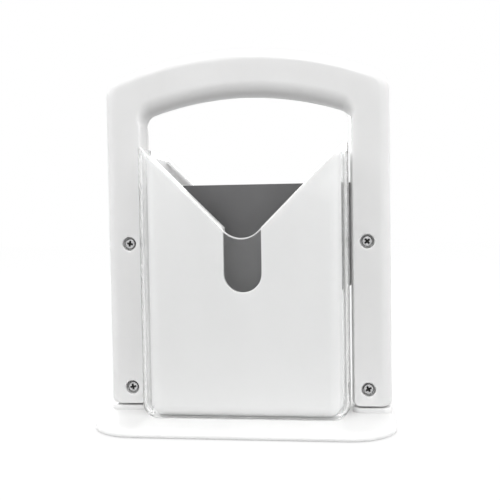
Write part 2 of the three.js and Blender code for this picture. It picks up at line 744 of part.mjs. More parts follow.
function holderScrew() {
  const [shank, head] = [HOLDER_SCREW_DIAMETER / 2, HOLDER_HEAD_DIAMETER / 2];
  const headEnd = FOOT_STANDOFF;
  const end = holderBottom + HOLDER_FLOOR - HOLDER_SCREW_COVER - FIT;
  const profile = [
    new THREE.Vector2(0, headEnd),
    new THREE.Vector2(head, headEnd),
    new THREE.Vector2(shank, headEnd + HOLDER_HEAD_HEIGHT),
    new THREE.Vector2(shank, end - HOLDER_SCREW_TIP),
    new THREE.Vector2(0, end),
  ];
  const body = toSolid(new THREE.LatheGeometry(profile, HOLE_SIDES));
  const slot = crossSlot(headEnd, HOLDER_CROSS_LENGTH, HOLDER_CROSS_WIDTH, HOLDER_CROSS_DEPTH);
  return toGeometry(cut(body, slot)).rotateX(Math.PI / 2);
}

// Finishes

function finish(color, roughness, metalness, opacity = 1) {
  return new THREE.MeshStandardMaterial({
    color, roughness, metalness, opacity, transparent: opacity < 1,
  });
}

const whitePlastic = () => finish(0xf1f1f0, 0.32, 0);
const clearPlastic = () => finish(0xf4f7f8, 0.05, 0, 0.3);
const coatedSteel = () => finish(0x6c6c6e, 0.42, 0.6);
const brightSteel = () => finish(0xb9b9ba, 0.3, 1);
const softRubber = () => finish(0xd2d2d0, 0.85, 0);

// Assembly

function named(name, geometry, material) {
  const mesh = new THREE.Mesh(geometry, material);
  mesh.name = name;
  return mesh;
}

// A moulding for the rear is the front one turned about the upright axis
function turned(mesh) {
  mesh.rotation.z = Math.PI;
  return mesh;
}

function baseGroup() {
  const group = new THREE.Group();
  group.add(named('base_plate', basePlate(), whitePlastic()));
  group.add(named('front_holder_wall', holderWall(), whitePlastic()));
  group.add(turned(named('rear_holder_wall', holderWall(), whitePlastic())));
  for (const [corner, [x, y]] of Object.entries(footPlaces())) {
    const foot = named(`foot_${corner}`, footPad(), softRubber());
    foot.position.set(x, y, 0);
    group.add(foot);
  }
  for (const [corner, [x, y]] of Object.entries(holderScrewPlaces())) {
    const screw = named(`holder_screw_${corner}`, holderScrew(), brightSteel());
    screw.position.set(x, y, 0);
    group.add(screw);
  }
  return group;
}

function handleGroup() {
  const group = new THREE.Group();
  group.add(named('front_handle_shell', frontShell(), whitePlastic()));
  group.add(turned(named('rear_handle_shell', rearShell(), whitePlastic())));
  group.add(named('front_shield', shield(), clearPlastic()));
  group.add(turned(named('rear_shield', shield(), clearPlastic())));
  group.add(named('blade', blade(), coatedSteel()));
  for (const [corner, [x, z]] of Object.entries(screwPlaces())) {
    const screw = named(`handle_screw_${corner}`, handleScrew(), brightSteel());
    screw.position.set(x, 0, z);
    group.add(screw);
  }
  return group;
}

const slicer = new THREE.Group();
slicer.add(baseGroup(), handleGroup());

export default slicer;
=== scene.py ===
import math

import bmesh
import bpy
import numpy as np
from mathutils import Matrix, Vector


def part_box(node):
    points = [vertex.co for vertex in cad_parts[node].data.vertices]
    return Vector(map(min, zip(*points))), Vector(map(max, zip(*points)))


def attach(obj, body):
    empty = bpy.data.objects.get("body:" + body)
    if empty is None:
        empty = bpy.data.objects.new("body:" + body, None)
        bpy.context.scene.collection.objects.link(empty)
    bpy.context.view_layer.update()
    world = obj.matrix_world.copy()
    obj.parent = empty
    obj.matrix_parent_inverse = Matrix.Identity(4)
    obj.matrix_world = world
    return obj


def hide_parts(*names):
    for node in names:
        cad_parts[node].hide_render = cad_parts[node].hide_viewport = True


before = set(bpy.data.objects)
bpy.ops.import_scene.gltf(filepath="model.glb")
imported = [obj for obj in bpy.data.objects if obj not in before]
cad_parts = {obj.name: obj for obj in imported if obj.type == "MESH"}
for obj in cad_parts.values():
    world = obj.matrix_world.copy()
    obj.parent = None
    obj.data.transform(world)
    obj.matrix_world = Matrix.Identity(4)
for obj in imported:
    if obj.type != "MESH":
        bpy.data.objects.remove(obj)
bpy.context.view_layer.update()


# Base plate
# A flat moulding in white plastic that the rest stands on. It has a round upper edge, a
# raised landing under each leg of the handle, pockets below for the feet and sunk holes
# for the holder's screws.

BASE_CORNER = 0.030
BASE_EDGE = 0.0036
BASE_CORNER_STEPS = 20
EDGE_STEPS = 10
LANDING_HEIGHT = 0.003
LANDING_INNER = 0.0685
LANDING_OUTER = 0.093
LANDING_DEPTH = 0.022
LANDING_CORNER = 0.005
LANDING_EDGE = 0.0006
FOOT_POCKET = 0.0166
FOOT_POCKET_TOP = 0.0023
FOOT_INSET_X = 0.024
FOOT_INSET_Y = 0.020
HOLDER_SCREW_X = 0.042
HOLDER_SCREW_Y = 0.017
SINK_WIDE = 0.0064
SINK_NARROW = 0.0036
SINK_START = 0.0011
SINK_DEPTH = 0.0016
CIRCLE_STEPS = 48
OVERRUN = 0.003
MOULDED_EDGE = 0.0003
SMALL_EDGE_STEPS = 5
SHARP_EDGE = math.radians(35)
FLAT_WITHIN = math.radians(0.1)
MERGE_WITHIN = 0.000001
QUARTER = math.pi / 2


def rim_arc(centre, radius, start, end, steps, bulge, first, last=None):
    """Rim points on an arc: place, direction into the material, and the edge's rounding.

    Bulge is 1 for an arc that bulges out of the material and -1 for a hollow in it. A
    rounding is how far it goes in across the face, and how far back.
    """
    share = np.linspace(0, 1, steps + 1)[:, None]
    angle = start + (end - start) * share
    outward = np.hstack([np.cos(angle), np.sin(angle)])
    rounding = np.array(first) * (1 - share) + np.array(last or first) * share
    return np.hstack([np.array(centre) + radius * outward, -bulge * outward, rounding])


def skin(name, rings):
    """A closed mesh over rings of places, with a flat face on the first and the last."""
    count = len(rings[0])
    faces = [tuple(reversed(range(count)))]
    for start in range(0, count * (len(rings) - 1), count):
        for step in range(count):
            here, there = start + step, start + (step + 1) % count
            faces.append((here, there, there + count, here + count))
    faces.append(tuple(range(count * (len(rings) - 1), count * len(rings))))
    mesh = bpy.data.meshes.new(name)
    mesh.from_pydata(np.vstack(rings).tolist(), [], faces)
    piece = bpy.data.objects.new(name, mesh)
    bpy.context.scene.collection.objects.link(piece)
    return piece


def level_ring(places, level):
    """A ring of flat places at one level, or at a level for each."""
    return np.column_stack([places, np.broadcast_to(level, len(places))])


def inset(outline, distance):
    """The outline with its sides moved inwards, or outwards by a negative distance."""
    along = np.roll(outline, -1, 0) - outline
    inward = np.column_stack([-along[:, 1], along[:, 0]]) / np.linalg.norm(along, axis=1)[:, None]
    before = np.roll(inward, 1, 0)
    return outline + distance * (inward + before) / (1 + (inward * before).sum(1))[:, None]


def edge_rings(outline, level, upward, inward):
    """Rings that round the edge of the face at a level, from that face to the sides."""
    return [level_ring(inset(outline, inward * (1 - math.sin(turn))), level + upward * (1 - math.cos(turn)))
            for turn in np.linspace(0, QUARTER, SMALL_EDGE_STEPS)]


def rounded_block(name, rim, bottom, top, foot=0.0):
    """The block inside a rim between two levels, with its upper edge rounded.

    Its lower edge is rounded by a small radius too, where one is given.
    """
    places, inward, across, back = rim[:, :2], rim[:, 2:4], rim[:, 4:5], rim[:, 5]
    rings = edge_rings(places, bottom, foot, foot) if foot else [level_ring(places, bottom)]
    for turn in np.linspace(0, QUARTER, EDGE_STEPS + 1):
        moved = places + inward * across * (1 - math.cos(turn))
        rings.append(level_ring(moved, top - back * (1 - math.sin(turn))))
    return skin(name, rings)


def slab(name, outline, bottom, top):
    """The straight block inside an outline between two levels."""
    return skin(name, [level_ring(outline, bottom), level_ring(outline, top)])


def opening(name, outline, bottom, face, edge):
    """The block that cuts an opening down from a face and rounds its edge there."""
    rings = edge_rings(outline, face, -edge, -edge)
    above = level_ring(inset(outline, -edge), face + OVERRUN)
    return skin(name, [level_ring(outline, bottom), *reversed(rings), above])


def circle(x, y, diameter):
    angle = np.arange(CIRCLE_STEPS) * (2 * math.pi / CIRCLE_STEPS)
    return np.array((x, y)) + diameter / 2 * np.column_stack([np.cos(angle), np.sin(angle)])


def bake(piece):
    """Works a piece's modifiers into its mesh."""
    evaluated = piece.evaluated_get(bpy.context.evaluated_depsgraph_get())
    piece.data = bpy.data.meshes.new_from_object(evaluated)
    piece.modifiers.clear()


def combine(piece, others, operation="DIFFERENCE"):
    """Cuts other solids from a piece, or joins or crosses them with it, and uses them up."""
    for other in others:
        modifier = piece.modifiers.new("combine", "BOOLEAN")
        modifier.operation = operation
        modifier.solver = "EXACT"
        modifier.object = other
        bake(piece)
        bpy.data.objects.remove(other)
    return piece


def finish(piece, edge=0.0):
    """Clears up after the cuts, and shades the faces smoothly between the sharp edges.

    Those edges are rounded where a radius is given.
    """
    clean = bmesh.new()
    clean.from_mesh(piece.data)
    bmesh.ops.remove_doubles(clean, verts=clean.verts, dist=MERGE_WITHIN)
    bmesh.ops.dissolve_limit(clean, angle_limit=FLAT_WITHIN, verts=clean.verts, edges=clean.edges)
    bmesh.ops.dissolve_degenerate(clean, edges=clean.edges, dist=MERGE_WITHIN)
    loose = [side for side in clean.edges if side.is_wire]
    bmesh.ops.delete(clean, geom=loose, context="EDGES")
    if edge:
        sharp = [side for side in clean.edges if side.calc_face_angle(0) > SHARP_EDGE]
        bmesh.ops.bevel(clean, geom=sharp, offset=edge, segments=2, profile=0.5, affect="EDGES",
                        offset_type="OFFSET")
    clean.to_mesh(piece.data)
    clean.free()
    piece.data.polygons.foreach_set("use_smooth", [True] * len(piece.data.polygons))
    piece.data.set_sharp_from_angle(angle=SHARP_EDGE)
    shading = piece.modifiers.new("shading", "WEIGHTED_NORMAL")
    shading.weight = 100
    shading.keep_sharp = True
    bake(piece)
    return piece


class Field:
    """A node's socket that can be used in a Python expression."""

    def __init__(self, tree, socket=None):
        self.tree, self.socket = tree, socket

    def node(self, kind, settings=(), sockets=(), output=0):
        """Adds a node: first its settings, then the values or links of its sockets."""
        made = self.tree.nodes.new(kind)
        for name, value in dict(settings).items():
            setattr(made, name, value)
        for name, value in dict(sockets).items():
            if isinstance(value, Field):
                self.tree.links.new(value.socket, made.inputs[name])
            else:
                made.inputs[name].default_value = value
        return Field(self.tree, made.outputs[output])

    def maths(self, operation, *values):
        return self.node("ShaderNodeMath", {"operation": operation}, enumerate(values))

    def __add__(self, other):
        return self.maths("ADD", self, other)

    def __radd__(self, other):
        return self.maths("ADD", other, self)

    def __sub__(self, other):
        return self.maths("SUBTRACT", self, other)

    def __rsub__(self, other):
        return self.maths("SUBTRACT", other, self)

    def __mul__(self, other):
        return self.maths("MULTIPLY", self, other)

    def __rmul__(self, other):
        return self.maths("MULTIPLY", other, self)

    def between(self, low, high):
        """0 where the field is below low, 1 where it is above high, and smooth between."""
        return self.node("ShaderNodeMapRange", {"interpolation_type": "SMOOTHSTEP"},
                         {"Value": self, "From Min": low, "From Max": high})

    def blend(self, dark, light):
        """A colour from dark, where the field is 0, to light, where it is 1."""
        return self.node("ShaderNodeMix", {"data_type": "RGBA"}, {0: self, 6: dark, 7: light}, 2)

    def to(self, socket):
        self.tree.links.new(self.socket, socket)


def new_material(name):
    """A material, its surface shader, and a field of the places on the object."""
    material = bpy.data.materials.new(name)
    material.use_nodes = True
    shader = material.node_tree.nodes["Principled BSDF"]
    places = Field(material.node_tree).node("ShaderNodeTexCoord", output="Object")
    return material, shader, places


def noise(places, scale, detail=3.0, stretch=(1, 1, 1)):
    """A noise field, in features to the metre, stretched along an axis where asked."""
    stretched = places.node("ShaderNodeMapping", {}, {"Vector": places, "Scale": stretch})
    return places.node("ShaderNodeTexNoise", {}, {"Vector": stretched, "Scale": scale, "Detail": detail})


def relief(height, shader, strength, distance):
    """Raises the surface by a field, as a bump in the shading."""
    bump = height.node("ShaderNodeBump", {}, {"Height": height, "Strength": strength, "Distance": distance})
    bump.to(shader.inputs["Normal"])


# White ABS, polished in the mould: a faint orange peel, slow flow marks from the melt
# and a few hairlines from handling. Some light passes through its thin walls.
WHITE_DARK = (0.765, 0.765, 0.762, 1)
WHITE_LIGHT = (0.80, 0.80, 0.798, 1)
WHITE_ROUGHNESS = 0.30
WHITE_IOR = 1.5
WHITE_SCATTER = 0.006
FLOW_SCALE = 22.0
FLOW_STRETCH = (1, 1, 0.35)
FLOW_ROUGHNESS = 0.06
HAIRLINE_SCALE = 260.0
HAIRLINE_STRETCH = (0.04, 1, 1)
HAIRLINE_RANGE = (0.66, 0.72)
HAIRLINE_ROUGHNESS = 0.12
HAIRLINE_SHARE = 0.6
PEEL_SCALE = 900.0
PEEL_STRENGTH = 0.08
GRAIN_DEPTH = 0.0001
FINE_DETAIL = 2.0
NOISE_MIDDLE = (0.3, 0.7)

white_plastic, shader, places = new_material("white_plastic")
flow = noise(places, FLOW_SCALE, stretch=FLOW_STRETCH).between(*NOISE_MIDDLE)
hairlines = noise(places, HAIRLINE_SCALE, FINE_DETAIL, HAIRLINE_STRETCH).between(*HAIRLINE_RANGE)
peel = noise(places, PEEL_SCALE, FINE_DETAIL)
flow.blend(WHITE_DARK, WHITE_LIGHT).to(shader.inputs["Base Color"])
(flow * FLOW_ROUGHNESS + hairlines * HAIRLINE_ROUGHNESS + WHITE_ROUGHNESS).to(shader.inputs["Roughness"])
relief(peel - hairlines * HAIRLINE_SHARE, shader, PEEL_STRENGTH, GRAIN_DEPTH)
shader.inputs["IOR"].default_value = WHITE_IOR
shader.inputs["Subsurface Weight"].default_value = 1.0
shader.inputs["Subsurface Radius"].default_value = (1.0, 1.0, 1.0)
shader.inputs["Subsurface Scale"].default_value = WHITE_SCATTER


def fit(piece, material, body, slot, *nodes):
    """Gives a finished piece its material, and its place in the frame."""
    piece.data.materials.clear()
    piece.data.materials.append(material)
    piece.data.polygons.foreach_set("material_index", [0] * len(piece.data.polygons))
    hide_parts(*nodes)
    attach(piece, body)


def plate_rim(left, right, depth, corner, edge):
    """The rim of a plate from its left side to its right, seen from above."""
    places = [(right - corner, corner - depth / 2), (right - corner, depth / 2 - corner),
              (left + corner, depth / 2 - corner), (left + corner, corner - depth / 2)]
    return np.vstack([
        rim_arc(place, corner, (turn - 1) * QUARTER, turn * QUARTER, BASE_CORNER_STEPS, 1, (edge, edge))
        for turn, place in enumerate(places)
    ])


base_low, base_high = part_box("base_plate")
base_top = base_high.z - LANDING_HEIGHT
foot_x, foot_y = base_high.x - FOOT_INSET_X, base_high.y - FOOT_INSET_Y
base = rounded_block("base_plate_moulding", plate_rim(
    base_low.x, base_high.x, base_high.y - base_low.y, BASE_CORNER, BASE_EDGE,
), base_low.z, base_top, MOULDED_EDGE)
for left, right in ((-LANDING_OUTER, -LANDING_INNER), (LANDING_INNER, LANDING_OUTER)):
    landing_rim = plate_rim(left, right, LANDING_DEPTH, LANDING_CORNER, LANDING_EDGE)
    landing = rounded_block("landing", landing_rim, (base_low.z + base_top) / 2, base_high.z)
    combine(base, [landing], "UNION")
for side_x in (-1, 1):
    for side_y in (-1, 1):
        pocket = circle(side_x * foot_x, side_y * foot_y, FOOT_POCKET)
        place = (side_x * HOLDER_SCREW_X, side_y * HOLDER_SCREW_Y)
        wide, narrow = circle(*place, SINK_WIDE), circle(*place, SINK_NARROW)
        combine(base, [
            slab("pocket", pocket, base_low.z - OVERRUN, FOOT_POCKET_TOP),
            skin("sunk_hole", [
                level_ring(wide, base_low.z - OVERRUN), level_ring(wide, SINK_START),
                level_ring(narrow, SINK_START + SINK_DEPTH), level_ring(narrow, base_top + OVERRUN),
            ]),
        ])
fit(finish(base), white_plastic, "base", "white_plastic", "base_plate")


# Feet
# Four discs of soft rubber, glued into the pockets under the base plate, which they
# hold just off the worktop.

FOOT_EDGE = 0.0004
FOOT_EDGE_SHARE = 0.3
CORNERS_INPUTS = {
    "Geometry": "Geometry", "Part": "Object", "Width": "Float", "Height": "Float",
    "Largest Turn": "Float", "Seed": "Int", "Tip": "Vector", "Centre": "Vector", "Finish": "Material",
}


def corners_tree():
    """A tree that sets a part at the four corners of a rectangle, each turned by chance.

    The rectangle is then tipped and carried to its place.
    """
    tree = bpy.data.node_groups.new("four_at_the_corners", "GeometryNodeTree")
    for name, kind in CORNERS_INPUTS.items():
        tree.interface.new_socket(name, in_out="INPUT", socket_type="NodeSocket" + kind)
    tree.interface.new_socket("Geometry", in_out="OUTPUT", socket_type="NodeSocketGeometry")
    given = tree.nodes.new("NodeGroupInput")
    ask = {socket.name: Field(tree, socket) for socket in given.outputs if socket.name}
    start = Field(tree)
    corners = start.node("GeometryNodeMeshGrid", {}, {
        "Size X": ask["Width"], "Size Y": ask["Height"], "Vertices X": 2, "Vertices Y": 2})
    turn = start.node("FunctionNodeRandomValue", {"data_type": "FLOAT"}, {
        2: ask["Largest Turn"] * -1.0, 3: ask["Largest Turn"], 8: ask["Seed"]}, 1)
    turned = start.node("ShaderNodeCombineXYZ", {}, {"Z": turn})
    part = start.node("GeometryNodeObjectInfo", {}, {"Object": ask["Part"]}, "Geometry")
    parts = start.node("GeometryNodeInstanceOnPoints", {}, {
        "Points": corners, "Instance": part, "Rotation": turned})
    carried = start.node("GeometryNodeTransform", {}, {
        "Geometry": parts, "Translation": ask["Centre"], "Rotation": ask["Tip"]})
    real = start.node("GeometryNodeRealizeInstances", {}, {"Geometry": carried})
    finished = start.node("GeometryNodeSetMaterial", {}, {"Geometry": real, "Material": ask["Finish"]})
    finished.to(tree.nodes.new("NodeGroupOutput").inputs[0])
    return tree


four_at_the_corners = corners_tree()


def four(name, part, width, height, centre, material, tip=(0, 0, 0), largest_turn=0.0, seed=0):
    """Four copies of a part as one mesh. The part itself is used up."""
    piece = bpy.data.objects.new(name, bpy.data.meshes.new(name))
    bpy.context.scene.collection.objects.link(piece)
    modifier = piece.modifiers.new("copies", "NODES")
    modifier.node_group = four_at_the_corners
    values = {"Part": part, "Width": width, "Height": height, "Largest Turn": largest_turn,
              "Seed": seed, "Tip": tip, "Centre": centre, "Finish": material}
    for socket in four_at_the_corners.interface.items_tree:
        if socket.in_out == "INPUT" and socket.name in values:
            modifier[socket.identifier] = values[socket.name]
    bake(piece)
    bpy.data.objects.remove(part)
    return piece


def turned_part(name, profile):
    """A solid turned about the upright axis, from its diameters and levels, bottom first."""
    return skin(name, [level_ring(circle(0, 0, diameter), level) for diameter, level in profile])


# Soft grey rubber with a fine moulded grain.
RUBBER_DARK = (0.36, 0.36, 0.355, 1)
RUBBER_LIGHT = (0.44, 0.44, 0.435, 1)
RUBBER_ROUGHNESS = 0.72
GRAIN_SCALE = 2400.0
GRAIN_ROUGHNESS = 0.1
GRAIN_STRENGTH = 0.3

foot_rubber, shader, places = new_material("foot_rubber")
grain = noise(places, GRAIN_SCALE, FINE_DETAIL)
grain.between(*NOISE_MIDDLE).blend(RUBBER_DARK, RUBBER_LIGHT).to(shader.inputs["Base Color"])
(grain * GRAIN_ROUGHNESS + RUBBER_ROUGHNESS).to(shader.inputs["Roughness"])
relief(grain, shader, GRAIN_STRENGTH, GRAIN_DEPTH)

foot_low, foot_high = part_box("foot_front_right")
foot_width = foot_high.x - foot_low.x
foot = turned_part("foot", [
    (foot_width - 2 * FOOT_EDGE, 0),
    (foot_width - 2 * FOOT_EDGE * FOOT_EDGE_SHARE, FOOT_EDGE * FOOT_EDGE_SHARE),
    (foot_width, FOOT_EDGE), (foot_width, foot_high.z),
])
feet = four("feet", finish(foot), 2 * foot_x, 2 * foot_y, (0, 0, 0), foot_rubber)
fit(feet, foot_rubber, "base", "foot_rubber",
    "foot_front_left", "foot_front_right", "foot_rear_left", "foot_rear_right")


# Holder screws
# Four countersunk self-tapping screws of plated steel, driven up through the base
# plate into the holder's floor. Their heads lie flush with the underside.

SUNK_CROSS = (0.0034, 0.0009, 0.0011)
CROSS_FLOOR_SHARE = 0.3
PLATING_WORN = (0.44, 0.44, 0.445, 1)
PLATING_BRIGHT = (0.58, 0.58, 0.585, 1)
PLATING_ROUGHNESS = 0.2
WEAR_SCALE = 900.0
WEAR_ROUGHNESS = 0.08
WEAR_STRENGTH = 0.1
WEAR_DEPTH = 0.00003
# Painted shade for the screws: a near-black, duller, less metallic colour deep in the cross and in the
# recess around the head.
RECESS_SHADE = (0.035, 0.034, 0.032, 1)
RECESS_SHADE_ROUGHNESS = 0.2
RECESS_SHADE_DULLING = 0.4
SHADE_DEPTHS = (0.0003, 0.0007)
SHANK = 0.003
SHANK_TIP = 0.0008
HEAD_EDGE = 0.0001
SCREW_EDGE = 0.00006


def cross_recess(top, length, width, depth):
    """The cross that the screwdriver fits, narrower at its floor."""
    long, short = length / 2, width / 2
    arm = np.array([(long, -short), (long, short), (short, short)])
    turns = [np.array([[math.cos(t), math.sin(t)], [-math.sin(t), math.cos(t)]])
             for t in np.arange(4) * QUARTER]
    outline = np.vstack([arm @ turn for turn in turns])
    return skin("cross", [
        level_ring(outline * CROSS_FLOOR_SHARE, top - depth),
        level_ring(outline, top), level_ring(outline, top + OVERRUN),
    ])


def plated_steel(name, axis, face):
    """Nickel plating, bright on the face of the head, with painted shade below it: the cross and the head's
    sides turn dark and dull.

    The face is a place on the axis, and the rest of the screw lies above that.
    """
    material, shader, places = new_material(name)
    along = places.node("ShaderNodeSeparateXYZ", {}, {0: places}, axis)
    # Painted shade: from just under the face of the head the plating turns near black and dull, standing in
    # for the shade in the cross and the recess.
    painted_shade = (along - face).between(*SHADE_DEPTHS)
    wear = noise(places, WEAR_SCALE, FINE_DETAIL).between(*NOISE_MIDDLE)
    plating = wear.blend(PLATING_WORN, PLATING_BRIGHT)
    painted_shade.blend(plating, RECESS_SHADE).to(shader.inputs["Base Color"])
    (wear * WEAR_ROUGHNESS + painted_shade * RECESS_SHADE_ROUGHNESS + PLATING_ROUGHNESS).to(shader.inputs["Roughness"])
    (1 - painted_shade * RECESS_SHADE_DULLING).to(shader.inputs["Metallic"])
    relief(wear, shader, WEAR_STRENGTH, WEAR_DEPTH)
    return material


screw_low, screw_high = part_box("holder_screw_front_left")
sunk_steel = plated_steel("sunk_screw_steel", "Z", screw_low.z)
screw_length, sunk_head = screw_high.z - screw_low.z, screw_high.x - screw_low.x
holder_screw = turned_part("holder_screw", [
    (SHANK - 2 * SHANK_TIP, 0), (SHANK, SHANK_TIP), (SHANK, screw_length - SINK_DEPTH),
    (sunk_head - 2 * HEAD_EDGE, screw_length - HEAD_EDGE), (sunk_head - 6 * HEAD_EDGE, screw_length),
])
combine(holder_screw, [cross_recess(screw_length, *SUNK_CROSS)])
holder_screws = four(
    "holder_screws", finish(holder_screw, SCREW_EDGE), 2 * HOLDER_SCREW_X, 2 * HOLDER_SCREW_Y,
    (0, 0, screw_high.z), sunk_steel, tip=(math.pi, 0, 0), largest_turn=QUARTER / 2, seed=4)
fit(holder_screws, sunk_steel, "base", "screw_steel", "holder_screw_front_left",
    "holder_screw_front_right", "holder_screw_rear_left", "holder_screw_rear_right")


# Bagel holder
# Two like mouldings in white plastic, screwed down with a slot between them for the
# blade. Each is a tray on its side with a V notch, a lip turned back along the V, and a
# round-ended slot for the thumb.

HOLDER_WALL = 0.0025
HOLDER_FLOOR = 0.004
HOLDER_CORNER = 0.009
HOLDER_SIDE_ROUND = 0.0085
HOLDER_BOTTOM_ROUND = 0.008
HOLDER_NOTCH_RISE = 0.1092
HOLDER_LIP_DEPTH = 0.008
HOLDER_LIP_THICKNESS = 0.002
THUMB_SLOT = 0.0242
THUMB_SLOT_RISE = 0.0803
PILOT_COVER = 0.001
NOTCH_CLEARANCE = 0.0002
CORNER_STEPS = 16
ROUND_END_STEPS = 32
HALF_NOTCH = math.pi / 4
STAND_UP = Matrix.Rotation(QUARTER, 4, "X")
TURN_ABOUT = Matrix.Rotation(math.pi, 4, "Z")


def left_half(right):
    """A rim's left half, made from its right half."""
    return right[::-1] * (-1, 1, -1, 1, 1, 1)


def tray_rim(side, bottom, top, corner, side_round, bottom_round):
    """The rim of a tray on its side: square at the top, with round lower corners."""
    beside, below = (side_round, side_round), (bottom_round, bottom_round)
    arc = rim_arc((side - corner, bottom + corner), corner, -QUARTER, 0, CORNER_STEPS, 1, below, beside)
    right = np.vstack([arc, [(side, top, -1, -MOULDED_EDGE / side_round, *beside)]])
    return np.vstack([right, left_half(right)])


def plain_arc(centre, radius, start, end):
    return rim_arc(centre, radius, start, end, ROUND_END_STEPS, 1, (0, 0))[:, :2]


def over_v(corner, top, bottom):
    """The outline over a V with its corner at a height, and with its bottom cut to a shape."""
    reach = (top + OVERRUN - corner) * math.tan(HALF_NOTCH)
    return np.vstack([bottom, [(reach, top + OVERRUN), (-reach, top + OVERRUN)]])


def round_notch(corner, radius, top):
    """The outline over a V with a round bottom."""
    centre = corner + radius / math.sin(HALF_NOTCH)
    return over_v(corner, top, plain_arc((0, centre), radius, math.pi + HALF_NOTCH,
                                         2 * math.pi - HALF_NOTCH))


def copy_of(piece, name, turn=Matrix()):
    """A copy of a piece, its mesh turned."""
    copy = bpy.data.objects.new(name, piece.data.copy())
    copy.data.transform(turn)
    bpy.context.scene.collection.objects.link(copy)
    return copy


holder_low, holder_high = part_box("front_holder_wall")
holder_side, holder_front, holder_seam = holder_high.x, -holder_low.y, -holder_high.y
holder_bottom, holder_top = holder_low.z, holder_high.z
notch_corner = holder_bottom + HOLDER_NOTCH_RISE
front_wall = rounded_block("front_holder_moulding", tray_rim(
    holder_side, holder_bottom, holder_top, HOLDER_CORNER, HOLDER_SIDE_ROUND, HOLDER_BOTTOM_ROUND,
), holder_seam, holder_front, MOULDED_EDGE)
lip_back = holder_front - HOLDER_LIP_DEPTH
slot_half = THUMB_SLOT / 2
lip = slab("lip", round_notch(
    notch_corner - HOLDER_LIP_THICKNESS / math.sin(HALF_NOTCH), slot_half, holder_top,
), lip_back, holder_front - HOLDER_WALL / 2)
combine(lip, [copy_of(front_wall, "outside")], "INTERSECT")
combine(front_wall, [rounded_block("inside", tray_rim(
    holder_side - HOLDER_WALL, holder_bottom + HOLDER_FLOOR, holder_top + OVERRUN,
    HOLDER_CORNER - HOLDER_WALL, HOLDER_SIDE_ROUND - HOLDER_WALL, HOLDER_BOTTOM_ROUND - HOLDER_WALL,
), -OVERRUN, holder_front - HOLDER_WALL)])
combine(front_wall, [lip], "UNION")
slot_arc = plain_arc((0, holder_bottom + THUMB_SLOT_RISE + slot_half), slot_half, math.pi, 2 * math.pi)
slot_top = notch_corner + slot_half / math.tan(HALF_NOTCH)
slot_and_notch = np.vstack([
    over_v(notch_corner, holder_top, np.vstack([slot_arc, [(slot_half, slot_top)]])),
    [(-slot_half, slot_top)],
])
combine(front_wall, [opening("notch", slot_and_notch, lip_back - NOTCH_CLEARANCE, holder_front,
                             MOULDED_EDGE)])
front_wall.data.transform(STAND_UP)
combine(front_wall, [
    slab("pilot", circle(x, -HOLDER_SCREW_Y, SINK_NARROW), holder_bottom - OVERRUN,
         holder_bottom + HOLDER_FLOOR - PILOT_COVER)
    for x in (-HOLDER_SCREW_X, HOLDER_SCREW_X)
])
finish(front_wall)
rear_wall = copy_of(front_wall, "rear_holder_moulding", TURN_ABOUT)
fit(front_wall, white_plastic, "base", "white_plastic", "front_holder_wall")
fit(rear_wall, white_plastic, "base", "white_plastic", "rear_holder_wall")


# Blade
# A stamped steel plate with a dark grey non-stick coating. Its ears are held in the
# legs of the handle, and its shallow V edge is scalloped and ground on one face.

EAR_BOTTOM = 0.0876
EAR_SHOULDER = 0.0066
EDGE_RISE = 0.015
GRIND_HEIGHT = 0.006
GRIND_LEFT = 0.0002
SCALLOP_PITCH = 0.007
SCALLOP_DEPTH = 0.0014
SCALLOP_STEPS = 10
BLADE_SIDE = 0.0614
LEG_INNER = 0.068
SCREW_SIDE = 0.0784
SCREW_HOLE = 0.0036
UPPER_SCREW = 0.1162
LOWER_SCREW = 0.0201
BLADE_EDGE = 0.00008


def scallops(start, end):
    """Shallow hollows along an edge, each an arch of a sine."""
    along = np.array(end) - np.array(start)
    length = np.linalg.norm(along)
    count = round(length / SCALLOP_PITCH)
    upward = np.array((-along[1], along[0])) / length
    step = np.arange(count * SCALLOP_STEPS)
    depth = SCALLOP_DEPTH * np.sin(math.pi * (step % SCALLOP_STEPS) / SCALLOP_STEPS)
    share = step / (count * SCALLOP_STEPS)
    return np.array(start) + along * share[:, None] + upward * depth[:, None]


def grinding(start, end, face):
    """The wedge that grinding takes off the front face above one half of the edge."""
    along = np.array(end) - np.array(start)
    length = np.linalg.norm(along)
    section = np.array([
        (-face + GRIND_LEFT, -OVERRUN), (face + OVERRUN, -OVERRUN), (face + OVERRUN, GRIND_HEIGHT),
        (face, GRIND_HEIGHT), (-face + GRIND_LEFT, 0),
    ])
    wedge = slab("grinding", section, -OVERRUN, length + OVERRUN)
    forward, upward = along / length, np.array((-along[1], along[0])) / length
    wedge.data.transform(Matrix((
        (0, upward[0], forward[0], start[0]),
        (0, upward[1], forward[1], start[1]),
        (1, 0, 0, 0),
        (0, 0, 0, 1),
    )))
    return wedge


# Dark grey non-stick coating: a fine speckle, slightly uneven in its gloss.
COATING_DARK = (0.118, 0.118, 0.120, 1)
COATING_LIGHT = (0.148, 0.148, 0.150, 1)
COATING_ROUGHNESS = 0.36
COATING_METALLIC = 0.6
SPECKLE_SCALE = 2200.0
SPECKLE_RANGE = (0.35, 0.65)
SPECKLE_SHARE = 0.5
SPECKLE_ROUGHNESS = 0.1
SPECKLE_STRENGTH = 0.12
SPECKLE_DEPTH = 0.00005
CLOUD_SCALE = 30.0
CLOUD_ROUGHNESS = 0.08

coated_steel, shader, places = new_material("coated_steel")
speckle = noise(places, SPECKLE_SCALE)
cloud = noise(places, CLOUD_SCALE).between(*NOISE_MIDDLE)
tone = speckle.between(*SPECKLE_RANGE) * SPECKLE_SHARE + cloud * (1 - SPECKLE_SHARE)
tone.blend(COATING_DARK, COATING_LIGHT).to(shader.inputs["Base Color"])
(cloud * CLOUD_ROUGHNESS + speckle * SPECKLE_ROUGHNESS + COATING_ROUGHNESS).to(shader.inputs["Roughness"])
relief(speckle, shader, SPECKLE_STRENGTH, SPECKLE_DEPTH)
shader.inputs["Metallic"].default_value = COATING_METALLIC

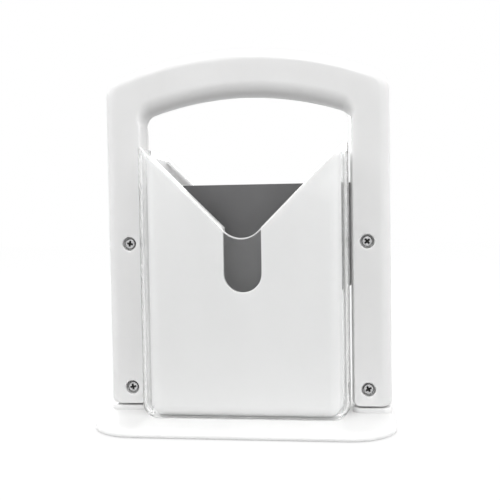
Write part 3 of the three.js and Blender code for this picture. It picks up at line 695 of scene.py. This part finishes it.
blade_low, blade_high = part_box("blade")
blade_face = blade_high.y
edge_tip, edge_side = blade_low.z, blade_low.z + EDGE_RISE
edge_halves = (((-BLADE_SIDE, edge_side), (0, edge_tip)), ((0, edge_tip), (BLADE_SIDE, edge_side)))
outline = np.vstack([
    *(scallops(*half) for half in edge_halves),
    [
        (BLADE_SIDE, edge_side), (BLADE_SIDE, EAR_BOTTOM - EAR_SHOULDER), (LEG_INNER, EAR_BOTTOM),
        (blade_high.x, EAR_BOTTOM), (blade_high.x, blade_high.z), (blade_low.x, blade_high.z),
        (blade_low.x, EAR_BOTTOM), (-LEG_INNER, EAR_BOTTOM), (-BLADE_SIDE, EAR_BOTTOM - EAR_SHOULDER),
    ],
])
blade = slab("blade_plate", outline, -blade_face, blade_face)
combine(blade, [grinding(*half, blade_face) for half in edge_halves])
combine(blade, [
    slab("hole", circle(x, UPPER_SCREW, SCREW_HOLE), -OVERRUN, OVERRUN) for x in (-SCREW_SIDE, SCREW_SIDE)
])
blade.data.transform(STAND_UP)
fit(finish(blade, BLADE_EDGE), coated_steel, "handle", "coated_steel", "blade")


# Shields
# Two clear mouldings, open above and below, that ride with the blade and keep fingers
# off it. A flange on each side is clamped between the handle's shells.

SHIELD_WALL = 0.0022
SHIELD_CORNER = 0.010
SHIELD_SIDE_ROUND = 0.0095
SHIELD_BOTTOM_ROUND = 0.0016
SHIELD_LIP_GAP = 0.0006
SHIELD_NOTCH_RISE = 0.1086
SHIELD_NOTCH_ROUND = 0.0152
SHIELD_SIDE = 0.067
FLANGE_FACE = 0.0028
FLANGE_BOTTOM = 0.0116
FLANGE_START = 0.0651
NOTCH_EDGE = 0.0011

# Clear acrylic, polished, with the faintest haze. Light falls straight through it, but
# not through the edges that face upwards, which lead it down inside the sheet. The rim
# along the V is frosted, so that it shows white.
CLEAR_TINT = (0.975, 0.98, 0.98, 1)
CLEAR_ROUGHNESS = 0.002
CLEAR_IOR = 1.49
HAZE_SCALE = 60.0
HAZE_RANGE = (0.3, 0.8)
HAZE_ROUGHNESS = 0.008
STRAIGHT_THROUGH = 0.15
EDGE_FACING = (0.4, 0.6)
RIM_FACING = (0.1, 0.3)
RIM_HEIGHTS = (0.105, 0.107)
RIM_WHITE = (0.86, 0.86, 0.86, 1)
RIM_FROST = 0.65

clear_plastic, shader, places = new_material("clear_plastic")
haze = noise(places, HAZE_SCALE).between(*HAZE_RANGE)
(haze * HAZE_ROUGHNESS + CLEAR_ROUGHNESS).to(shader.inputs["Roughness"])
shader.inputs["Base Color"].default_value = CLEAR_TINT
shader.inputs["Transmission Weight"].default_value = 1.0
shader.inputs["IOR"].default_value = CLEAR_IOR
start = Field(clear_plastic.node_tree)
for_light = start.maths("MAXIMUM", start.node("ShaderNodeLightPath", output="Is Shadow Ray"),
                        start.node("ShaderNodeLightPath", output="Is Diffuse Ray"))
facing = start.node("ShaderNodeTexCoord", output="Normal")
upwards = start.node("ShaderNodeSeparateXYZ", {}, {0: facing}, "Z")
faces_up = upwards.between(*EDGE_FACING)
passing = start.maths("MAXIMUM", for_light * (1 - faces_up), STRAIGHT_THROUGH)
height = start.node("ShaderNodeSeparateXYZ", {}, {0: places}, "Z")
rim = upwards.between(*RIM_FACING) * height.between(*RIM_HEIGHTS)
frosted = start.node("ShaderNodeBsdfDiffuse", {}, {"Color": RIM_WHITE})
rimmed = start.node("ShaderNodeMixShader", {}, {
    0: rim * RIM_FROST, 1: Field(start.tree, shader.outputs[0]), 2: frosted})
open_air = start.node("ShaderNodeBsdfTransparent", {}, {"Color": (1, 1, 1, 1)})
lets_light_in = start.node("ShaderNodeMixShader", {}, {0: passing, 1: rimmed, 2: open_air})
lets_light_in.to(start.tree.nodes["Material Output"].inputs["Surface"])


def box_outline(low, high):
    return np.array([(low[0], low[1]), (high[0], low[1]), (high[0], high[1]), (low[0], high[1])])


shield_low, shield_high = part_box("front_shield")
shield_front, shield_seam = -shield_low.y, -shield_high.y
shield_bottom, shield_top = shield_low.z, shield_high.z
shield_inner = SHIELD_SIDE - SHIELD_WALL
front_shield = rounded_block("front_clear_shield", tray_rim(
    SHIELD_SIDE, shield_bottom, shield_top, SHIELD_CORNER, SHIELD_SIDE_ROUND, SHIELD_BOTTOM_ROUND,
), shield_seam, shield_front, MOULDED_EDGE)
combine(front_shield, [
    rounded_block("inside", tray_rim(
        shield_inner, shield_bottom + SHIELD_WALL, shield_top + OVERRUN, SHIELD_CORNER - SHIELD_WALL,
        SHIELD_SIDE_ROUND - SHIELD_WALL, SHIELD_BOTTOM_ROUND,
    ), -OVERRUN, shield_front - SHIELD_WALL),
    rounded_block("mouth", tray_rim(
        holder_side + SHIELD_LIP_GAP, shield_bottom - SHIELD_CORNER - OVERRUN,
        shield_bottom + SHIELD_CORNER, SHIELD_CORNER, SHIELD_SIDE_ROUND - SHIELD_WALL,
        SHIELD_BOTTOM_ROUND,
    ), -OVERRUN, shield_front - SHIELD_WALL),
    opening("notch", round_notch(
        shield_bottom + SHIELD_NOTCH_RISE, SHIELD_NOTCH_ROUND, shield_top,
    ), -OVERRUN, shield_front, NOTCH_EDGE),
])
for side in (-1, 1):
    near, far = sorted((side * FLANGE_START, side * shield_high.x))
    flange = slab("flange", box_outline((near, FLANGE_BOTTOM), (far, shield_top)), shield_seam, FLANGE_FACE)
    combine(flange, [
        slab("hole", circle(side * SCREW_SIDE, z, SCREW_HOLE), -OVERRUN, FLANGE_FACE + OVERRUN)
        for z in (LOWER_SCREW, UPPER_SCREW)
    ])
    combine(front_shield, [flange], "UNION")
front_shield.data.transform(STAND_UP)
finish(front_shield)
rear_shield = copy_of(front_shield, "rear_clear_shield", TURN_ABOUT)
fit(front_shield, clear_plastic, "handle", "clear_plastic", "front_shield")
fit(rear_shield, clear_plastic, "handle", "clear_plastic", "rear_shield")


# Handle shells
# Two hollow mouldings in white plastic that meet down the middle: an arch to press on
# and two legs, which clamp the shields' flanges and the blade's ears. The front one has
# a round recess for each screw.

GRIP_HEIGHT = 0.030
ARCH_RADIUS = 0.234
SHOULDER_RADIUS = 0.014
GRIP_UNDER_RADIUS = 0.198
THROAT_RADIUS = 0.008
LEG_END_CORNER = 0.0035
LEG_END_EDGE = 0.0006
LEG_INNER_ROUND = (0.0022, 0.0095)
OUTER_ROUND = (0.007, 0.007)
GRIP_UNDER_ROUND = (0.010, 0.010)
SHELL_WALL = 0.0025
INNER_ROUND = 0.0003
ARCH_STEPS = 40
LEG_END_STEPS = 8
RECESS = 0.0092
RECESS_DEPTH = 0.004
RECESS_WALL = 0.0016
REAR_BOSS = 0.008
REAR_BOSS_FLOOR = 0.0012
FIT = 0.0003

shell_low, shell_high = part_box("front_handle_shell")
handle_front, handle_seam = -shell_low.y, -shell_high.y
handle_side, leg_bottom, handle_top = shell_high.x, shell_low.z, shell_high.z


def shoulder(side, arch_centre, arch_radius, radius):
    """The centre of the circle between an upright side and an arch, and where they meet."""
    x = side - radius
    rise = math.sqrt((arch_radius - radius) ** 2 - x ** 2)
    return (x, arch_centre + rise), math.atan2(rise, x)


def inner_round(rounding, wall):
    return tuple(max(reach - wall, INNER_ROUND) for reach in rounding)


def handle_rim(wall):
    """The rim of the handle, or of its hollow where a wall is given."""
    under, beside = inner_round(GRIP_UNDER_ROUND, wall), inner_round(LEG_INNER_ROUND, wall)
    outer = inner_round(OUTER_ROUND, wall)
    low_centre, high_centre = handle_top - GRIP_HEIGHT - GRIP_UNDER_RADIUS, handle_top - ARCH_RADIUS
    low_radius, high_radius = GRIP_UNDER_RADIUS + wall, ARCH_RADIUS - wall
    throat_radius, shoulder_radius = THROAT_RADIUS + wall, SHOULDER_RADIUS - wall
    throat, throat_angle = shoulder(LEG_INNER + wall, low_centre, low_radius, throat_radius)
    crown, crown_angle = shoulder(handle_side - wall, high_centre, high_radius, shoulder_radius)
    end_radius = max(LEG_END_CORNER - wall, INNER_ROUND)
    end = leg_bottom + wall + end_radius
    inner_end = rim_arc((LEG_INNER + wall + end_radius, end), end_radius, math.pi, 3 * QUARTER,
                        LEG_END_STEPS, 1, beside)
    outer_end = rim_arc((handle_side - wall - end_radius, end), end_radius, 3 * QUARTER, 4 * QUARTER,
                        LEG_END_STEPS, 1, outer)
    inner_end[:, 2:4] = (1, LEG_END_EDGE / beside[0])
    outer_end[:, 2:4] = (-1, LEG_END_EDGE / outer[0])
    right = np.vstack([
        rim_arc((0, low_centre), low_radius, QUARTER, throat_angle, ARCH_STEPS, -1, under),
        rim_arc(throat, throat_radius, throat_angle, 0, CORNER_STEPS, -1, under, beside)[1:],
        inner_end,
        outer_end,
        rim_arc(crown, shoulder_radius, 0, crown_angle, CORNER_STEPS, 1, outer),
        rim_arc((0, high_centre), high_radius, crown_angle, QUARTER, ARCH_STEPS, 1, outer)[1:],
    ])
    return np.vstack([right, left_half(right)[1:-1]])


def half_shell(name, boss):
    """One half of the handle, hollow, with slots for the flanges and a boss at each screw."""
    shell = rounded_block(name, handle_rim(0), handle_seam, handle_front, MOULDED_EDGE)
    inside = rounded_block("inside", handle_rim(SHELL_WALL), -OVERRUN, handle_front - SHELL_WALL)
    slots = []
    for side in (-1, 1):
        reach = (LEG_INNER - OVERRUN, LEG_INNER + SHELL_WALL + LEG_END_CORNER)
        near, far = sorted(side * x for x in reach)
        place = box_outline((near, FLANGE_BOTTOM - FIT), (far, shield_top + FIT))
        slots.append(slab("flange_slot", place, -OVERRUN, FLANGE_FACE + FIT))
    combine(shell, [inside, *slots])
    return combine(shell, [
        slab("boss", circle(x, z, boss), FLANGE_FACE + FIT, handle_front - SHELL_WALL / 2)
        for x, z in screw_places
    ], "UNION")


screw_places = [(x, z) for x in (-SCREW_SIDE, SCREW_SIDE) for z in (LOWER_SCREW, UPPER_SCREW)]
front_shell = half_shell("front_handle_moulding", RECESS + 2 * RECESS_WALL)
for x, z in screw_places:
    combine(front_shell, [
        opening("recess", circle(x, z, RECESS), handle_front - RECESS_DEPTH, handle_front, MOULDED_EDGE),
        slab("hole", circle(x, z, SCREW_HOLE), -OVERRUN, handle_front),
    ])
rear_shell = half_shell("rear_handle_moulding", REAR_BOSS)
combine(rear_shell, [
    slab("pilot", circle(x, z, SCREW_HOLE), -OVERRUN, handle_front - REAR_BOSS_FLOOR)
    for x, z in screw_places
])
front_shell.data.transform(STAND_UP)
rear_shell.data.transform(TURN_ABOUT @ STAND_UP)
fit(finish(front_shell), white_plastic, "handle", "white_plastic", "front_handle_shell")
fit(finish(rear_shell), white_plastic, "handle", "white_plastic", "rear_handle_shell")


# Handle screws
# Four pan-head self-tapping screws of plated steel, sunk in the front shell's recesses
# and driven through the flanges and the blade's ears into the rear shell.

PAN_HEAD = 0.0066
PAN_HEIGHT = 0.002
PAN_EDGE = 0.0008
PAN_DOME = 0.00015
PAN_DOME_SHARES = ((0.4, 0.3), (0.1, 0.0))
PAN_STEPS = 5
PAN_CROSS = (0.0046, 0.0014, 0.0018)
HANDLE_SCREW_TIP = 0.0015
TIP_SHARE = 0.2

pan_low, pan_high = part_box("handle_screw_upper_left")
pan_length = pan_high.y - pan_low.y
pan_steel = plated_steel("pan_screw_steel", "Y", pan_low.y)
seat = pan_length - PAN_HEIGHT
shoulder_top = pan_length - PAN_DOME
crown = [(PAN_HEAD - 2 * PAN_EDGE * (1 - math.cos(turn)), shoulder_top - PAN_EDGE * (1 - math.sin(turn)))
         for turn in np.linspace(0, QUARTER, PAN_STEPS + 1)]
dome = [(PAN_HEAD * across, pan_length - PAN_DOME * down) for across, down in PAN_DOME_SHARES]
pan_screw = turned_part("pan_screw", [
    (SHANK * TIP_SHARE, 0), (SHANK, HANDLE_SCREW_TIP), (SHANK, seat), (PAN_HEAD, seat), *crown, *dome,
])
combine(pan_screw, [cross_recess(pan_length, *PAN_CROSS)])
handle_screws = four(
    "handle_screws", finish(pan_screw, SCREW_EDGE), 2 * SCREW_SIDE, UPPER_SCREW - LOWER_SCREW,
    (0, pan_high.y, (UPPER_SCREW + LOWER_SCREW) / 2), pan_steel, tip=(QUARTER, 0, 0),
    largest_turn=QUARTER / 2, seed=11)
fit(handle_screws, pan_steel, "handle", "screw_steel", "handle_screw_upper_left",
    "handle_screw_upper_right", "handle_screw_lower_left", "handle_screw_lower_right")


# Room, light and camera
# A pale floor that runs out to a white room, a large soft lamp overhead, smaller ones
# in front and behind, and a camera at the photograph's viewing angle.

FLOOR_SIZE = 6.0
FLOOR_ALBEDO = (0.38, 0.38, 0.38, 1)
FLOOR_BRIGHT = (0.9, 0.9, 0.9, 1)
FLOOR_SHADOW_SHARE = 0.12
LIGHT_AROUND = 0.57
LIGHT_FROM_SIDES = 1.5
LIGHT_FROM_ABOVE = 0.18
OVERHEAD_LAMP = (0, -0.2, 1.3)
OVERHEAD_SIZE = 1.1
OVERHEAD_POWER = 4.0
FRONT_LAMP = (0.15, -0.95, 1.05)
FRONT_SIZE = 0.5
FRONT_POWER = 5.4
REAR_LAMP = (-0.35, 1.2, 0.45)
REAR_SIZE = 0.5
REAR_POWER = 4.5
LIT_PLACE = (0, 0, 0.12)
CAMERA_PLACE = (0.068646, -0.530567, 0.135168)
CAMERA_YAW = math.radians(7.254)
CAMERA_PITCH = math.radians(-2.603)
CAMERA_ROLL = math.radians(-0.922)
FOCAL_PIXELS = 802.2
IMAGE_PIXELS = 500
SENSOR_WIDTH = 36.0
CLIP_START = 0.01


def seen_directly(tree):
    """1 for rays that the camera sees, straight, reflected or through the clear plastic."""
    start = Field(tree)
    path = {name: start.node("ShaderNodeLightPath", output=name)
            for name in ("Is Camera Ray", "Is Glossy Ray", "Is Transmission Ray", "Diffuse Depth")}
    straight = start.maths("MAXIMUM", path["Is Camera Ray"], path["Is Glossy Ray"])
    seen = start.maths("MAXIMUM", straight, path["Is Transmission Ray"])
    return seen * start.maths("LESS_THAN", path["Diffuse Depth"], 1.0)


floor = slab("floor", box_outline((-FLOOR_SIZE / 2, -FLOOR_SIZE / 2), (FLOOR_SIZE / 2, FLOOR_SIZE / 2)),
             -OVERRUN, 0)
floor_paint = bpy.data.materials.new("floor_paint")
floor_paint.use_nodes = True
tree = floor_paint.node_tree
tree.nodes.remove(tree.nodes["Principled BSDF"])
start = Field(tree)
matt = start.node("ShaderNodeBsdfDiffuse", {}, {"Color": FLOOR_ALBEDO})
bright = start.node("ShaderNodeBsdfDiffuse", {}, {"Color": FLOOR_BRIGHT})
glow = start.node("ShaderNodeEmission", {}, {"Color": (1, 1, 1, 1), "Strength": 1.0})
shown = start.node("ShaderNodeMixShader", {}, {0: FLOOR_SHADOW_SHARE, 1: glow, 2: bright})
mixed = start.node("ShaderNodeMixShader", {}, {0: seen_directly(tree), 1: matt, 2: shown})
mixed.to(tree.nodes["Material Output"].inputs["Surface"])
floor.data.materials.append(floor_paint)

world = bpy.data.worlds.new("white_room")
world.use_nodes = True
bpy.context.scene.world = world
tree = world.node_tree
start = Field(tree)
direction = start.node("ShaderNodeTexCoord", output="Generated")
sideways = start.node("ShaderNodeSeparateXYZ", {}, {0: direction}, "X")
upwards = start.node("ShaderNodeSeparateXYZ", {}, {0: direction}, "Z")
ambient = sideways * sideways * LIGHT_FROM_SIDES + upwards * LIGHT_FROM_ABOVE + LIGHT_AROUND
seen = seen_directly(tree)
strength = seen + (1 - seen) * ambient
strength.to(tree.nodes["Background"].inputs["Strength"])
tree.nodes["Background"].inputs["Color"].default_value = (1, 1, 1, 1)

for name, place, size, power in (
    ("overhead_lamp", OVERHEAD_LAMP, OVERHEAD_SIZE, OVERHEAD_POWER),
    ("front_lamp", FRONT_LAMP, FRONT_SIZE, FRONT_POWER),
    ("rear_lamp", REAR_LAMP, REAR_SIZE, REAR_POWER),
):
    light = bpy.data.lights.new(name, "AREA")
    light.shape, light.size, light.energy = "SQUARE", size, power
    lamp = bpy.data.objects.new(name, light)
    lamp.location = place
    lamp.visible_camera = False
    lamp.rotation_euler = (Vector(place) - Vector(LIT_PLACE)).to_track_quat("Z", "Y").to_euler()
    bpy.context.scene.collection.objects.link(lamp)

camera = bpy.data.objects.new("camera", bpy.data.cameras.new("camera"))
camera.data.sensor_width = SENSOR_WIDTH
camera.data.lens = FOCAL_PIXELS / IMAGE_PIXELS * SENSOR_WIDTH
camera.data.clip_start = CLIP_START
camera.matrix_world = (
    Matrix.Translation(CAMERA_PLACE)
    @ Matrix.Rotation(CAMERA_YAW, 4, "Z")
    @ Matrix.Rotation(QUARTER + CAMERA_PITCH, 4, "X")
    @ Matrix.Rotation(CAMERA_ROLL, 4, "Z")
)
bpy.context.scene.collection.objects.link(camera)
bpy.context.scene.camera = camera
bpy.context.scene.view_settings.view_transform = "Standard"
